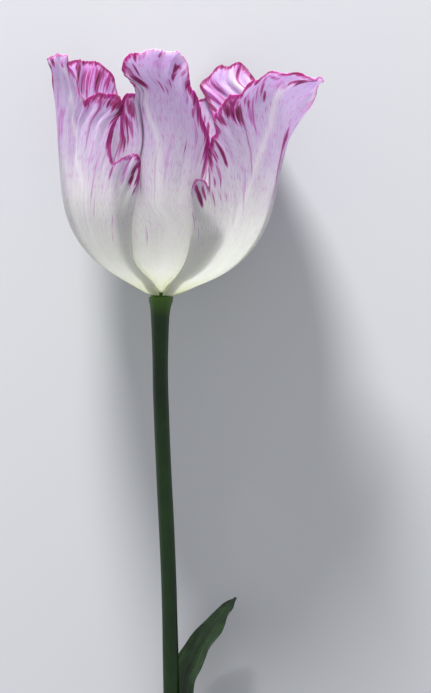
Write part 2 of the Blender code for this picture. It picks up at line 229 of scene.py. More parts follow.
# Layer is 1 outside and -1 inside the cup's middle surface, and foot is the azimuths of the
# foot's two sides (0 faces the viewer, + is to the right). A margin row is the end of one
# vein: its azimuth, the vein's length, how far its end flares, and over what length. Sides
# are the rows, from the foot up, that bound the petal to either hand. Creases are a place in
# the margin list, a half width and a depth. A midrib is the places and distances from the
# foot that its pale band passes. Rims are stretches of the margin from one place to another:
# + is the depth in millimetres of a deep coloured edge there, and - takes that share of the
# colour away. Marks are brush touches of colour, mostly dye. The marks noted in the lists are
# painted shade. Each is where it is seen from in front, in millimetres right of and above
# the foot, then half width, reach along the veins, strength.
petals = {
    "tepal_inner_front": {
        "layer": -1,
        "foot": (-53, 47),
        "sides": [(*range(0, 8), *range(9, 13)), range(26, 14, -1)],
        "creases": [(8.8, 0.8, -0.15), (14, 2, 0.5), (17.5, 0.8, -0.5), (11.5, 0.8, 0.5)],
        "margin": [
            (-33, 10), (-34, 20), (-31, 32), (-31, 44), (-32, 54), (-28, 63, 2, 14),
            (-27.5, 73, 4, 14), (-23.5, 77, 6, 14), (-19, 77, 6, 14), (-19.5, 79.5, 16, 14),
            (-24.5, 83.5, 26, 14), (-23.5, 88, 34, 16), (-18, 92, 42, 16), (-10, 93.5, 46, 17),
            (-4, 94, 46, 18), (1, 93, 44, 18), (4.5, 90, 40, 18), (6, 84.5, 32, 16),
            (7.5, 80.5, 24, 14), (11, 77.5, 14), (15.5, 70, 8), (20.5, 63, 3), (21, 54), (20, 43),
            (38, 34), (37, 20), (29, 10),
        ],
        "midrib": [(12.9, 0), (12.9, 34.2), (12.4, 58), (10.3, 75.4), (10.3, 84)],
        "rims": [(12.6, 15.6, -0.8), (16.6, 22, 1.7), (4.6, 8.6, 1.6), (9.6, 12.4, 1.3)],
        "marks": [
            # the first three marks, long faint lines down the body, are painted shade
            (-5.6, 53.2, 0.6, 7.1, 0.25), (-1.6, 36.6, 0.3, 8.9, 0.22),
            (2.7, 44.9, 0.7, 7.7, 0.2), (11.6, 50.8, 0.8, 5.3, 0.4), (11.9, 43.7, 0.6, 4.7, 0.3),
            (-6.3, 46.1, 0.5, 4.1, 0.35), (-0.8, 73.3, 3.6, 1.8, 0.3), (-8, 75.7, 0.5, 2.4, 1),
            (-7.6, 71.5, 0.5, 2.5, 0.95), (-7.1, 67.7, 0.7, 2.1, 0.95),
            (-8.4, 69.5, 0.8, 1.5, 0.6), (-3.2, 77, 0.5, 0.8, 0.35), (-0.1, 76.6, 0.6, 1.4, 0.75),
            (5.4, 72.7, 1.8, 1.4, 0.95), (7.3, 70.7, 1.2, 1.5, 0.9), (4, 70.1, 1.4, 1.3, 0.8),
            (2.7, 67.4, 1.1, 1.2, 0.65), (0.6, 66.8, 0.5, 2, 0.55), (2, 64.4, 0.4, 1.5, 0.4),
            (9.3, 66.1, 1.1, 1.8, 0.75), (10.9, 62.7, 1.2, 2.4, 0.9),
            (12.3, 59.4, 1.1, 2.5, 0.95), (13.7, 55.6, 0.7, 2.1, 0.95),
            (10.4, 57.9, 0.6, 1.5, 0.55), (8.6, 62.1, 0.5, 1.5, 0.45), (-5, 58.2, 0.4, 1.2, 0.55),
            (-4.6, 56.2, 0.2, 0.9, 0.4), (7.7, 46.8, 0.3, 1.7, 0.6),
            (-4.2, 18.3, 0.35, 3.2, 0.25), (-11.4, 48.2, 0.7, 2.4, 1), (-12.3, 52.6, 0.9, 2.6, 1),
            (-10.9, 56.2, 1.5, 2.6, 0.85), (-9.1, 59.7, 1.8, 2.4, 0.7),
            (-10.9, 61.8, 2, 1.2, 0.8), (-9.3, 53.8, 0.9, 3, 0.5), (-10.3, 50.8, 0.7, 3, 0.6),
            (-11.2, 72.1, 0.8, 3, 0.55), (-9.7, 67.1, 1.2, 0.8, 0.75),
        ],
    },
    "tepal_outer_left": {
        "layer": 1,
        "foot": (-8, -108),
        "sides": [(*range(0, 8), *range(12, 16), *range(21, 24)), range(32, 23, -1)],
        "creases": [(18.6, 1.1, -1.2), (24, 1.6, 0.6), (13.5, 1.5, 0.4)],
        "margin": [
            (-14, 7), (-21, 13), (-25, 20), (-22.5, 28), (-19.7, 38), (-15.7, 48, 3),
            (-15, 54, 6), (-15.5, 57.3, 8), (-19, 58.2, 6), (-25, 56.5, 4), (-30.5, 54.5, 2),
            (-32, 60, 4), (-29, 67, 5), (-24.7, 72, 8), (-25, 75.5, 12), (-29, 77, 14),
            (-36, 77.3, 14), (-44, 75.5, 12), (-49, 73.5, 8), (-52, 76, 8), (-54, 82, 14, 14),
            (-55, 87, 24, 14), (-57, 89.5, 28, 14), (-62, 90, 28, 14), (-70, 89, 26, 14),
            (-79, 87.5, 18, 14), (-84, 78, 6), (-92, 66, 3), (-98, 54), (-100, 42), (-99, 30),
            (-96, 20), (-93, 11),
        ],
        "midrib": [(13.2, 0), (13.7, 23), (14.9, 45.5), (19.8, 69), (22.6, 88)],
        "rims": [(4.6, 8.2, 0.9), (10.5, 19, 1.6), (24.5, 27.5, 1.1)],
        "marks": [
            # the first two marks, long and faint down the second lobe's fold, are painted shade
            (-22.6, 53.2, 0.5, 7.7, 0.35), (-21.2, 36.6, 0.5, 8.9, 0.3),
            (-18.6, 62.1, 5.3, 1.3, 0.6), (-13.6, 61.2, 2, 2, 0.75), (-29, 48.5, 0.8, 8.9, 0.2),
            (-19.2, 44.9, 0.9, 7.1, 0.22), (-32.8, 62.1, 0.9, 4.7, 0.35),
            (-32.3, 50.8, 0.8, 6.5, 0.35), (-24.5, 28.3, 0.6, 9.5, 0.18),
            (-31, 73.9, 2.4, 1.2, 0.45), (-34.5, 74.6, 0.9, 1.5, 1), (-35.2, 72.8, 0.5, 1.3, 0.9),
            (-34.8, 71.5, 0.3, 0.7, 0.7), (-34.2, 66.8, 0.4, 1.4, 0.6),
            (-34.8, 63.8, 0.4, 1.2, 0.45), (-27.7, 71.8, 0.3, 1.8, 0.6),
            (-26.6, 67.4, 0.4, 2.1, 0.6), (-22.9, 61.2, 0.4, 2.6, 0.85),
            (-23.2, 63.8, 1.1, 1.2, 0.75), (-21, 62.8, 1.5, 1.3, 0.75),
            (-18.3, 62.4, 1.7, 1.5, 0.8), (-15.6, 61.8, 1.5, 1.8, 0.8),
            (-13.3, 60.9, 1.3, 2.1, 0.9), (-12.2, 58.8, 0.9, 2, 0.9),
            (-14.3, 56.7, 0.9, 2.4, 0.5), (-19.2, 60.3, 1.2, 2, 0.55),
            (-15.8, 47.6, 0.8, 1.3, 0.7), (-16.3, 44.9, 0.5, 1.3, 0.5),
            (-15.3, 46.7, 0.4, 1.2, 0.6), (-15.8, 39, 0.4, 2.4, 0.5), (-10.3, 43.7, 2, 0.8, 0.6),
            (-7.9, 43.7, 1.3, 1.1, 0.75), (-8.1, 40.2, 0.8, 2.1, 0.95), (-9.1, 36.9, 0.9, 2, 0.9),
            (-7.5, 36.6, 0.5, 1.8, 0.8), (-8.4, 33.4, 0.5, 1.4, 0.8),
            (-10.9, 40.2, 0.9, 2.4, 0.45), (-11.8, 36.6, 0.6, 1.8, 0.35),
            (-15.2, 22.9, 0.25, 2.4, 0.34), (-15.3, 18.3, 0.25, 2.2, 0.26),
            (-21, 28.3, 0.5, 3.6, 0.25), (-21.9, 44.9, 0.5, 4.7, 0.25),
            (-31.6, 56.2, 0.9, 5.3, 0.35),
        ],
    },
    "tepal_outer_right": {
        "layer": 1,
        "foot": (8, 96),
        "sides": [(*range(0, 7), *range(12, 21)), range(32, 21, -1)],
        "creases": [(17, 1.1, -1.2), (21, 1.4, 0.5), (13.5, 1.6, 0.5)],
        "margin": [
            (12, 7), (17, 14), (18, 22), (16.5, 32), (14.5, 41), (12.5, 47.7, 3), (14.5, 51.3, 6),
            (19, 51, 4), (22.5, 47.9), (20.8, 55), (19.5, 61, 4), (20, 64.5, 6), (22, 66.5, 6),
            (20, 71, 8), (22, 75.5, 14, 10), (27, 79.5, 24, 10), (32, 81, 32, 10),
            (37, 85, 42, 11), (42, 89, 54), (49, 92, 66, 14), (57, 93.5, 72, 17),
            (63, 94, 70, 21), (67, 93.5, 60, 25), (71, 90.5, 48, 27), (76, 82, 34, 26),
            (83, 71, 8, 18), (87, 64, 4), (91, 60), (92, 50), (91, 38), (88, 26), (84, 16),
            (80, 9),
        ],
        "midrib": [(11, 0), (11.1, 26.5), (13.8, 42.9), (16.8, 55.1), (19.9, 70.7), (20.9, 92)],
        "rims": [(6.4, 8.4, 0.8), (8.8, 13.2, 1.3), (13.2, 18.2, 1.8), (18.2, 21, 1.2)],
        "marks": [
            # the first four marks, long and faint down the fold left of the midrib, are painted
            # shade
            (29.3, 56.7, 0.7, 7.1, 0.45), (28.7, 44.9, 0.6, 8.3, 0.36),
            (26.4, 33.1, 0.6, 7.1, 0.26), (23.4, 28.3, 0.6, 6.5, 0.2), (38.9, 48.5, 3, 5, 0.68),
            (38.2, 43.7, 3.2, 5.5, 0.6), (37.3, 37.8, 3.2, 6, 0.45), (36.4, 31.3, 2.6, 6, 0.3),
            (34.7, 48.5, 0.8, 7.1, 0.2), (22.8, 59.4, 4.1, 2.4, 0.7),
            # the broad mark at (37.6, 67.4) is a violet band of painted shade under the rolled tip
            (37.6, 67.4, 4.7, 2.2, 0.34), (21.6, 44.9, 1.8, 3.6, 0.25),
            (36.5, 69.2, 3.6, 1, 0.55), (33.2, 68.4, 0.5, 2.2, 0.5), (41.6, 67.9, 0.5, 2.2, 0.7),
            (24.1, 57.9, 2.4, 2.8, 1), (25.8, 55.6, 1.1, 2.4, 1), (21.1, 58.8, 2, 2, 0.95),
            (18.1, 57, 1.5, 2.1, 0.95), (19.6, 55.6, 0.8, 1.8, 0.8), (23.4, 61.5, 1.8, 1.2, 0.8),
            (27.6, 61.8, 1.5, 1.8, 0.7), (28.2, 57.9, 0.9, 3.6, 0.45),
            (16.9, 53.8, 0.6, 2.4, 0.9), (15.7, 48.5, 0.8, 2, 0.85), (18.1, 47.6, 0.6, 2.1, 0.8),
            (19.4, 45.5, 0.5, 2.6, 0.95), (20.3, 42.8, 0.4, 1.8, 0.9),
            (16.6, 45.5, 0.9, 2.6, 0.75), (16, 42.8, 0.8, 2.4, 0.6), (18.6, 38.1, 0.7, 3.6, 0.5),
            (17.2, 36, 0.7, 2, 0.55), (14.8, 34.3, 1.2, 0.9, 0.6), (11.5, 33.2, 0.7, 1.8, 0.75),
            (12.4, 31, 0.6, 2.6, 0.85), (13.6, 32.6, 0.5, 2.2, 0.6), (16.6, 30.7, 0.6, 2.4, 0.75),
            (14.8, 32.5, 0.9, 1.3, 0.55), (19, 31.3, 0.3, 1.6, 0.4),
            (20.8, 30.9, 0.25, 1.5, 0.35), (10.6, 23.3, 0.3, 3, 0.5), (11.9, 19.8, 0.4, 2, 0.35),
            (43.6, 68, 0.5, 2, 1), (44.3, 67.4, 0.5, 2.2, 1), (45, 67.9, 0.5, 2, 1),
            (45.8, 68.3, 0.45, 1.6, 0.9), (48.3, 67.6, 0.5, 1.1, 0.7),
            (32.3, 66.1, 0.7, 2.4, 0.6), (33, 63.6, 0.5, 2, 0.6), (34.7, 60.8, 0.3, 1.1, 0.55),
            (32.5, 57.9, 0.2, 0.9, 0.3), (30.5, 63.8, 0.7, 3, 0.4), (39.8, 50.1, 0.7, 1.8, 0.95),
        ],
    },
    "tepal_outer_back": {
        "layer": 1,
        "foot": (122, 238),
        "sides": [range(0, 9), range(23, 14, -1)],
        "creases": [(11.5, 1.5, -0.4), (5.5, 1.2, -0.4), (17.5, 1.2, -0.4)],
        "margin": [
            (130, 9), (124, 18), (120, 30), (119, 44), (122, 58), (130, 66, 2), (140, 73, 8),
            (149, 79, 30, 18), (155, 85, 44, 22), (162, 82, 30, 18), (170, 77, 8, 14),
            (177, 80, 3, 14), (184, 80, 3, 14), (191, 76, 8, 14), (197, 76, 32, 18),
            (204, 80, 48, 22), (211, 76, 32, 18), (220, 71, 8), (230, 66, 2), (237, 58),
            (240, 44), (239, 30), (236, 18), (230, 9),
        ],
        "midrib": [(11.5, 0), (11.5, 80)],
        "rims": [(8.5, 14.5, 0.8)],
        "marks": [
            (14.8, 52, 0.8, 2.6, 0.95), (15.3, 54.1, 0.7, 1.2, 0.8), (14.2, 56.2, 0.5, 1.8, 0.6),
        ],
    },
    "tepal_inner_left": {
        "layer": -1,
        "foot": (-70, -170),
        "sides": [range(0, 10), range(20, 11, -1)],
        "creases": [(10, 1.5, 0.5), (12.3, 0.8, -0.7), (7.5, 1, -0.5)],
        "margin": [
            (-82, 10), (-74, 20), (-71, 32), (-72, 46), (-80, 60), (-86, 73, 5), (-91, 80, 12),
            (-102, 85, 8), (-112, 86, 12), (-120, 87, 14), (-128, 87.5, 14), (-135, 87.5, 12),
            (-141, 86, 8), (-147, 83, 6), (-150, 77, 3), (-156, 69), (-161, 60), (-164, 46),
            (-164, 32), (-160, 20), (-152, 10),
        ],
        "midrib": [(10, 0), (10, 86)],
        "rims": [(5, 14, 1.3)],
        "marks": [
            # the broad mark at (-21.6, 69.2) is a violet wash of painted shade over the inner face
            (-21.6, 69.2, 6.5, 5.4, 0.62), (-23.3, 72.1, 3.6, 1.5, 0.35),
            (-18, 67.4, 1.8, 3, 0.4), (-23.2, 66.8, 1.2, 2.4, 0.3), (-26.5, 71.8, 1.1, 3, 0.8),
            (-27.1, 73.3, 0.6, 1.8, 0.8), (-25.6, 69.2, 0.5, 2.4, 0.5),
            (-20.3, 70, 0.5, 2.6, 0.9), (-21.2, 67.9, 0.4, 2.4, 0.8), (-19.2, 72.1, 0.7, 2, 0.45),
            (-16.7, 69.8, 0.8, 3.6, 0.6), (-16, 65.6, 0.6, 1.8, 0.6),
        ],
    },
    "tepal_inner_right": {
        "layer": -1,
        "foot": (67, 167),
        "sides": [range(0, 12), range(23, 13, -1)],
        "creases": [(11, 0.9, -0.9), (14, 1.4, 0.5), (8, 1.5, 0.4)],
        "margin": [
            (85, 10), (77, 20), (73, 32), (73, 46), (78, 60), (88, 70, 3), (100, 77, 6),
            (115, 81, 6), (130, 83, 8), (139, 85, 12), (144, 88, 16), (149, 90, 16),
            (154, 89, 14), (159, 89, 14), (164, 86, 12), (168, 82, 8), (164, 77.5, 4),
            (160, 72.5), (156, 66), (153, 54), (156, 43), (158, 32), (155, 20), (149, 10),
        ],
        "midrib": [(11.5, 0), (11.5, 90)],
        "rims": [(7, 17, 1.2)],
        "marks": [
            (16, 68, 2.4, 2.8, 0.45), (17.9, 63.6, 2.6, 3.2, 0.45), (27.6, 72.1, 3, 1.2, 0.3),
            (25.1, 72.1, 0.8, 3, 0.7), (25.2, 68, 0.5, 3.6, 0.55), (24.1, 72.7, 0.5, 1.8, 0.4),
            (14.8, 62.7, 0.8, 2.7, 0.85), (13.8, 65, 0.7, 2.4, 0.7), (16.3, 60.3, 0.7, 2.1, 0.8),
            (18.2, 62.1, 0.4, 1.8, 0.6), (19.6, 66.1, 0.3, 1.4, 0.55),
            (17.5, 67.7, 0.5, 1.5, 0.5), (14.5, 68, 0.8, 1.8, 0.5), (21.1, 71.5, 0.2, 1.1, 0.35),
            (29.3, 68.3, 0.5, 2.4, 0.4), (30.6, 70.9, 0.6, 1.8, 0.45),
        ],
    },
}

for petal in petals.values():
    petal["margin"] = [row + cup["plainEnd"][len(row) - 2 :] for row in petal["margin"]]


def veinSlope(run, length, flare, reach):
    bend = smooth((run - cup["bend"][0]) / (cup["bend"][1] - cup["bend"][0]))
    curl = flare * smooth((run - length + reach) / reach)
    return math.radians(cup["baseSlope"] + (cup["wallSlope"] - cup["baseSlope"]) * bend - curl)


# azimuth, distance from the foot and margin place up each side of a petal, in fine steps
def sideTables(petal):
    margin = petal["margin"]
    tables = []
    for footAzimuth, rows in zip(petal["foot"], petal["sides"]):
        side = [(footAzimuth, 0.0, rows[0])] + [(margin[i][0], margin[i][1], i) for i in rows]
        fine = cup["sideSteps"]
        tables.append([between(side, i / fine) for i in range((len(side) - 1) * fine + 1)])
    return tables


def onSide(table, run):
    above = bisect.bisect_right(table, run, key=lambda row: row[1])
    if above == len(table):
        return table[-1]
    low, high = table[above - 1], table[above]
    f = (run - low[1]) / (high[1] - low[1])
    return [a + (b - a) * f for a, b in zip(low, high)]


# the veins that reach this far from the foot spread evenly between the two sides
def spreadAzimuth(tables, place, run):
    firstAzimuth, _, firstPlace = onSide(tables[0], run)
    lastAzimuth, _, lastPlace = onSide(tables[1], run)
    swing = (lastAzimuth - firstAzimuth) * (place - firstPlace) / (lastPlace - firstPlace)
    return firstAzimuth + swing


# points of one vein, from the foot to the margin, with each one's distance along it
def veinLine(petal, tables, across, seed):
    margin = petal["margin"]
    place = across * (len(margin) - 1)
    endAzimuth, length, flare, reach = between(margin, place)
    free = smooth(flare / cup["waveFlare"])
    notches = noiseAt(place * cup["notches"], seed, 0.0)
    notches += cup["fineShare"] * noiseAt(place * cup["fineNotches"], seed, 3.0)
    held = cup["notchHeld"]
    length += cup["notchHeight"] * (held + (1.0 - held) * free) * notches
    points = []
    radius = cup["footRadius"]
    height = cup["footHeight"]
    before = 0.0
    for row in range(cup["rows"] + 1):
        along = 1.0 - (1.0 - row / cup["rows"]) ** cup["crowding"]
        run = length * along
        step = (run - before) / cup["rowSteps"]
        for i in range(cup["rowSteps"]):
            slope = veinSlope(before + (i + 0.5) * step, length, flare, reach)
            radius += math.cos(slope) * step
            height += math.sin(slope) * step
        before = run
        slope = veinSlope(run, length, flare, reach)
        lift = petal["layer"] * (cup["layerAtFoot"] + (cup["layerAtWall"] - cup["layerAtFoot"])
                                 * smooth(run / cup["layerReach"]))
        for crease, halfWidth, depth in petal["creases"]:
            fold = math.exp(-((place - crease) / halfWidth) ** 2)
            lift += depth * fold * smooth((along - cup["creaseFrom"]) / cup["creaseReach"])
        wave = free * smooth((along - cup["waveFrom"]) / (1.0 - cup["waveFrom"]))
        lift += cup["waveHeight"] * wave * math.sin(2.0 * math.pi * place / cup["waveSteps"])
        frill = free * smooth((run - length + cup["frillReach"]) / cup["frillReach"])
        lift += cup["frillHeight"] * frill * noiseAt(place * cup["frills"], seed, 8.0)
        azimuth = spreadAzimuth(tables, place, run)
        azimuth += (endAzimuth - spreadAzimuth(tables, place, length)) * along**2
        azimuth = math.radians(azimuth)
        r = radius + lift * math.sin(slope)
        points.append((Vector((r * math.sin(azimuth), -r * math.cos(azimuth),
                               height - lift * math.cos(slope))), run))
    return points


# what the feathering and the painted shade marks look like: lengths in millimetres, noises in
# steps a margin place
feather = {
    "rim": 0.8,
    "rimStrength": 0.72,
    "rimFrom": 26.0,      # height over the foot where the coloured margin starts
    "rimFull": 40.0,
    "rimBlend": 0.8,      # margin places over which a stretch of rim comes and goes
    "patches": 0.8,
    "grains": 5.0,
    "strands": 4.5,
    "groups": 0.7,
    "reach": 6.0,
    "streakStrength": 0.55,
    "washStrength": 0.13,
    "strand": 0.62,       # breadth of one strand of dye in a mark
    "strandLength": 14.0,
    "midribWidth": 2.1,
    "layerSearch": 0.6,   # how far round a mark to look for the nearest layer
    "layerDepth": 1.0,    # points this close in depth are one layer
}


# how wide one margin place is here, in millimetres
def placeSpread(lines, column, row, width):
    columns = len(lines) - 1
    right = min(column + 1, columns)
    gap = lines[right][row][0] - lines[right - 1][row][0]
    return gap.length * columns / width


# finds the vein and the distance from the foot where each mark falls
def settleMarks(petal, lines, width):
    lean = Matrix.Rotation(math.radians(lying["bloomLean"]), 3, "Y")
    tree = kdtree.KDTree(len(lines) * len(lines[0]))
    depths = []
    for line in lines:
        for point, _ in line:
            seen = lean @ point
            tree.insert((seen.x, 0.0, seen.z), len(depths))
            depths.append(seen.y)
    tree.balance()
    settled = []
    for x, z, halfWidth, reach, strength in petal["marks"]:
        # where the petal curls over itself, the side nearest the viewer carries the mark
        near = tree.find_range((x, 0.0, z), feather["layerSearch"]) or [tree.find((x, 0.0, z))]
        front = min(depths[spot[1]] for spot in near) + feather["layerDepth"]
        chosen = min((spot for spot in near if depths[spot[1]] <= front), key=lambda spot: spot[2])
        column, row = divmod(chosen[1], len(lines[0]))
        place = column / cup["columns"] * width
        spread = placeSpread(lines, column, row, width)
        settled.append((place, lines[column][row][1], spread, halfWidth, reach, strength))
    return settled


# a mark is ragged at its ends, and a broad one falls into strands
def markPaint(mark, place, run, seed):
    spot, start, spread, halfWidth, reach, strength = mark
    aside = (place - spot) * spread
    down = (run - start) / reach
    if abs(aside) > 2.4 * halfWidth or abs(down) > 2.8:
        return 0.0
    strand = noiseAt(aside / feather["strand"], seed + spot, run / feather["strandLength"])
    broad = smooth((halfWidth - 0.5) / 0.6)
    down += strand * 1.1 * broad
    hit = math.exp(-((aside / halfWidth) ** 2 + down * down) * 1.1)
    touch = smooth(hit * 1.7) * (1.0 - broad * 0.6 * smooth((0.05 - strand) / 0.35))
    return strength * max(touch, 0.38 * hit**0.6)


def featherAndShadePaint(petal, marks, place, run, margin, height, seed):
    up = smooth((height - feather["rimFrom"]) / (feather["rimFull"] - feather["rimFrom"]))
    patchy = noiseAt(place * feather["patches"], seed, 1.0)
    grain = 0.5 + noiseAt(place * feather["grains"], seed, 2.0)
    rimWidth = feather["rim"] * (1.0 + 0.9 * patchy)
    rim = up * feather["rimStrength"] * (1.0 - smooth((margin - rimWidth * 0.3) / rimWidth))
    rim *= 0.85 + 0.5 * patchy
    blend = feather["rimBlend"]
    for first, last, change in petal["rims"]:
        inside = smooth((place - first) / blend) * smooth((last - place) / blend)
        if change < 0.0:
            rim *= 1.0 + change * inside
        else:
            deep = 1.0 - smooth((margin - change * (0.3 + 0.5 * grain)) / (change * 0.8))
            rim = max(rim, up * inside * deep * (0.8 + 0.2 * grain))
    strand = noiseAt(place * feather["strands"], seed, run / feather["strandLength"])
    group = max(0.0, 0.3 + noiseAt(place * feather["groups"], seed, 5.0) * 1.4)
    reach = feather["reach"] * group * (0.5 + max(0.0, strand) * 1.6)
    streaks = up * feather["streakStrength"] * (1.0 - smooth(margin / max(0.4, reach)))
    streaks *= smooth((strand + 0.1) / 0.4)
    wash = up * feather["washStrength"] * (1.0 - smooth(margin / (feather["reach"] * 2.0)))
    # touches of the marks: dye, and the marks of painted shade
    touches = [markPaint(mark, place, run, seed) for mark in marks]
    return min(1.0, max(rim, streaks, wash, *touches))


# how strongly the pale midrib shows here
def midribPaint(petal, place, run, spread):
    band = petal["midrib"]
    for (placeLow, runLow), (placeHigh, runHigh) in zip(band, band[1:]):
        if runLow <= run <= runHigh:
            middle = placeLow + (placeHigh - placeLow) * (run - runLow) / (runHigh - runLow)
            narrow = feather["midribWidth"] * (1.25 - 0.6 * run / band[-1][1])
            return math.exp(-(((place - middle) * spread / narrow) ** 2))
    return 0.0


def petalSheet(name, petal, seed):
    bm = bmesh.new()
    uvLayer = bm.loops.layers.uv.new("veins")
    columns = cup["columns"]
    bmesh.ops.create_grid(bm, x_segments=columns, y_segments=cup["rows"], size=1.0)
    tables = sideTables(petal)
    lines = [veinLine(petal, tables, column / columns, seed) for column in range(columns + 1)]
    edges = [line[-1][0] for line in lines]
    tree = kdtree.KDTree(len(edges))
    for i, point in enumerate(edges):
        tree.insert(point, i)
    tree.balance()
    paintLayer = bm.verts.layers.float.new("featheringAndShade")
    midribLayer = bm.verts.layers.float.new("midrib")
    edgeLayer = bm.verts.layers.deform.verify()
    spots = {}
    width = len(petal["margin"]) - 1
    marks = settleMarks(petal, lines, width)
    for vert in bm.verts:
        column = round((0.5 + 0.5 * vert.co.x) * columns)
        row = round((0.5 + 0.5 * vert.co.y) * cup["rows"])
        point, run = lines[column][row]
        near = tree.find(point)[2]
        place = column / columns * width
        spread = placeSpread(lines, column, row, width)
        vert[paintLayer] = featherAndShadePaint(petal, marks, place, run, near, point.z, seed)
        vert[midribLayer] = midribPaint(petal, place, run, spread)
        vert[edgeLayer][0] = edgeShare(cup, near)
        spots[vert.index] = (place * cup["placeWidth"], run * cup["runScale"])
        vert.co = point
    return finishSheet(bm, name, uvLayer, spots, bloomPlace)


# a petal's skin: satin and thin enough for light to pass, with fine lengthwise veins
def petalSkinMaterial():
    made, add = newMaterial("tulip petal skin")
    uv = add("UVMap", {}, uv_map="veins")
    paint = add("Attribute", {}, attribute_name="featheringAndShade").outputs["Fac"]
    midrib = add("Attribute", {}, attribute_name="midrib").outputs["Fac"]
    run = add("SeparateXYZ", {"Vector": uv}).outputs["Y"]
    # UV is in centimetres: veins lie about 0.5 mm apart and run the petal's length
    stretch = add("Mapping", {"Vector": uv, "Scale": (1.0, 0.06, 1.0)})
    veins = add(
        "TexNoise", {"Vector": stretch, "Scale": 14.0, "Detail": 4.0, "Roughness": 0.6},
        noise_dimensions="2D")
    veinMask = add("ValToRGB", {"Fac": veins}, [(0.42, 0.0), (0.66, 1.0)])
    clouds = add("TexNoise", {"Vector": uv, "Scale": 0.9, "Detail": 3.0}, noise_dimensions="2D")
    # from the cream foot to the lilac margin, over 10 cm of the vein
    height = add("Math", {0: clouds, 1: 1.6, 2: run}, operation="MULTIPLY_ADD")
    scaled = add("Math", {0: height, 1: 0.1, 2: -0.08}, operation="MULTIPLY_ADD")
    body = add(
        "ValToRGB", {"Fac": scaled}, [(0.0, "#b9c47a"), (0.05, "#d6dcb4"), (0.15, "#e6ebd6"),
        (0.4, "#dadbd5"), (0.6, "#c5b6d1"), (0.92, "#b294c7")])
    veinFade = add("ValToRGB", {"Fac": scaled}, [(0.22, 0.06), (0.62, 0.42)])
    veinAmount = add("Math", {0: veinMask, 1: veinFade}, operation="MULTIPLY")
    veined = add(
        "Mix", {"Factor": veinAmount, 6: body, 7: hexColour("#b58cc9")}, data_type="RGBA")
    # short rose flecks of dye, 1 to 4 mm long, that leave the foot bare
    fleckPlace = add("Mapping", {"Vector": uv, "Scale": (1.0, 0.16, 1.0)})
    flecks = add(
        "TexNoise", {"Vector": fleckPlace, "Scale": 22.0, "Detail": 2.0}, noise_dimensions="2D")
    fleckMask = add("ValToRGB", {"Fac": flecks}, [(0.56, 0.0), (0.72, 0.55)])
    fleckAmount = add("Math", {0: fleckMask, 1: veinFade}, operation="MULTIPLY")
    fleckStrong = add("Math", {0: fleckAmount, 1: 3.0}, operation="MULTIPLY", use_clamp=True)
    flecked = add(
        "Mix", {"Factor": fleckStrong, 6: veined, 7: hexColour("#b063a8")}, data_type="RGBA")
    ribAmount = add("Math", {0: midrib, 1: 0.36}, operation="MULTIPLY")
    ribbed = add(
        "Mix", {"Factor": ribAmount, 6: flecked, 7: hexColour("#f3f1ec")}, data_type="RGBA")
    # the feathering and the painted shade are broken up along the veins
    broken = add(
        "TexNoise", {"Vector": stretch, "Scale": 26.0, "Detail": 3.0}, noise_dimensions="2D")
    breaking = add("Math", {0: broken, 1: 1.3, 2: -0.62}, operation="MULTIPLY_ADD")
    hit = add("Math", {0: breaking, 1: paint}, operation="MULTIPLY")
    amount = add("Math", {0: hit, 1: paint}, operation="ADD", use_clamp=True)
    # the dye's colours, which the painted shade marks also take at their violet end
    dyeAndShade = add(
        "ValToRGB", {"Fac": amount}, [(0.0, "#d0a6dc"), (0.3, "#b562b2"), (0.6, "#952a70"),
        (0.85, "#750c42"), (1.0, "#520423")])
    cover = add("ValToRGB", {"Fac": amount}, [(0.05, 0.0), (0.45, 1.0)])
    skin = add("Mix", {"Factor": cover, 6: ribbed, 7: dyeAndShade}, data_type="RGBA")
    ridges = add("Bump", {"Strength": 0.35, "Distance": 0.0002, "Height": veins})
    return finishMaterial(made, add("BsdfPrincipled", {
        "Base Color": skin, "Roughness": 0.48, "IOR": 1.42, "Normal": ridges,
        "Subsurface Weight": 1.0, "Subsurface Radius": (0.96, 1.0, 0.96),
        "Subsurface Scale": 0.0035}))


petalSkin = petalSkinMaterial()


def makePetal(name, petal, seed):
    sheet = petalSheet(name + "_skin", petal, seed)
    piece = newPiece(sheet, petalSkin, "petal", name)
    thicken(piece, cup["thickness"])
    graph = bpy.context.evaluated_depsgraph_get()
    solid = bpy.data.meshes.new_from_object(piece.evaluated_get(graph))
    piece.modifiers.clear()
    # what would reach below the table is pressed flat on it and keeps its thickness
    count = len(solid.vertices) // 2
    for pair in zip(solid.vertices[:count], solid.vertices[count:]):
        low, high = sorted(pair, key=lambda vert: vert.co.z)
        if low.co.z < 0.0:
            high.co.z = max(high.co.z, (high.co - low.co).length)
            low.co.z = 0.0
    piece.data = solid
    solid.name = name + "_skin"


for number, (name, petal) in enumerate(petals.items()):
    makePetal(name, petal, 11.0 + 7.0 * number)
    print("cut tulip:", name)


# a tube or pod from a grid: place(angle, f) gives its points, in millimetres
def wrappedMesh(name, around, along, place, transform):
    bm = bmesh.new()
    bm.loops.layers.uv.new("wrap")
    bmesh.ops.create_grid(bm, x_segments=around, y_segments=along, size=1.0, calc_uvs=True)
    for vert in bm.verts:
        vert.co = place(math.pi * (1.0 + vert.co.x), 0.5 + 0.5 * vert.co.y)
    bmesh.ops.remove_doubles(bm, verts=bm.verts, dist=0.0005)
    bmesh.ops.recalc_face_normals(bm, faces=bm.faces)
    bm.transform(transform)
    for vert in bm.verts:
        vert.co.z = max(vert.co.z, 0.0)
    return finishMesh(bm, name)


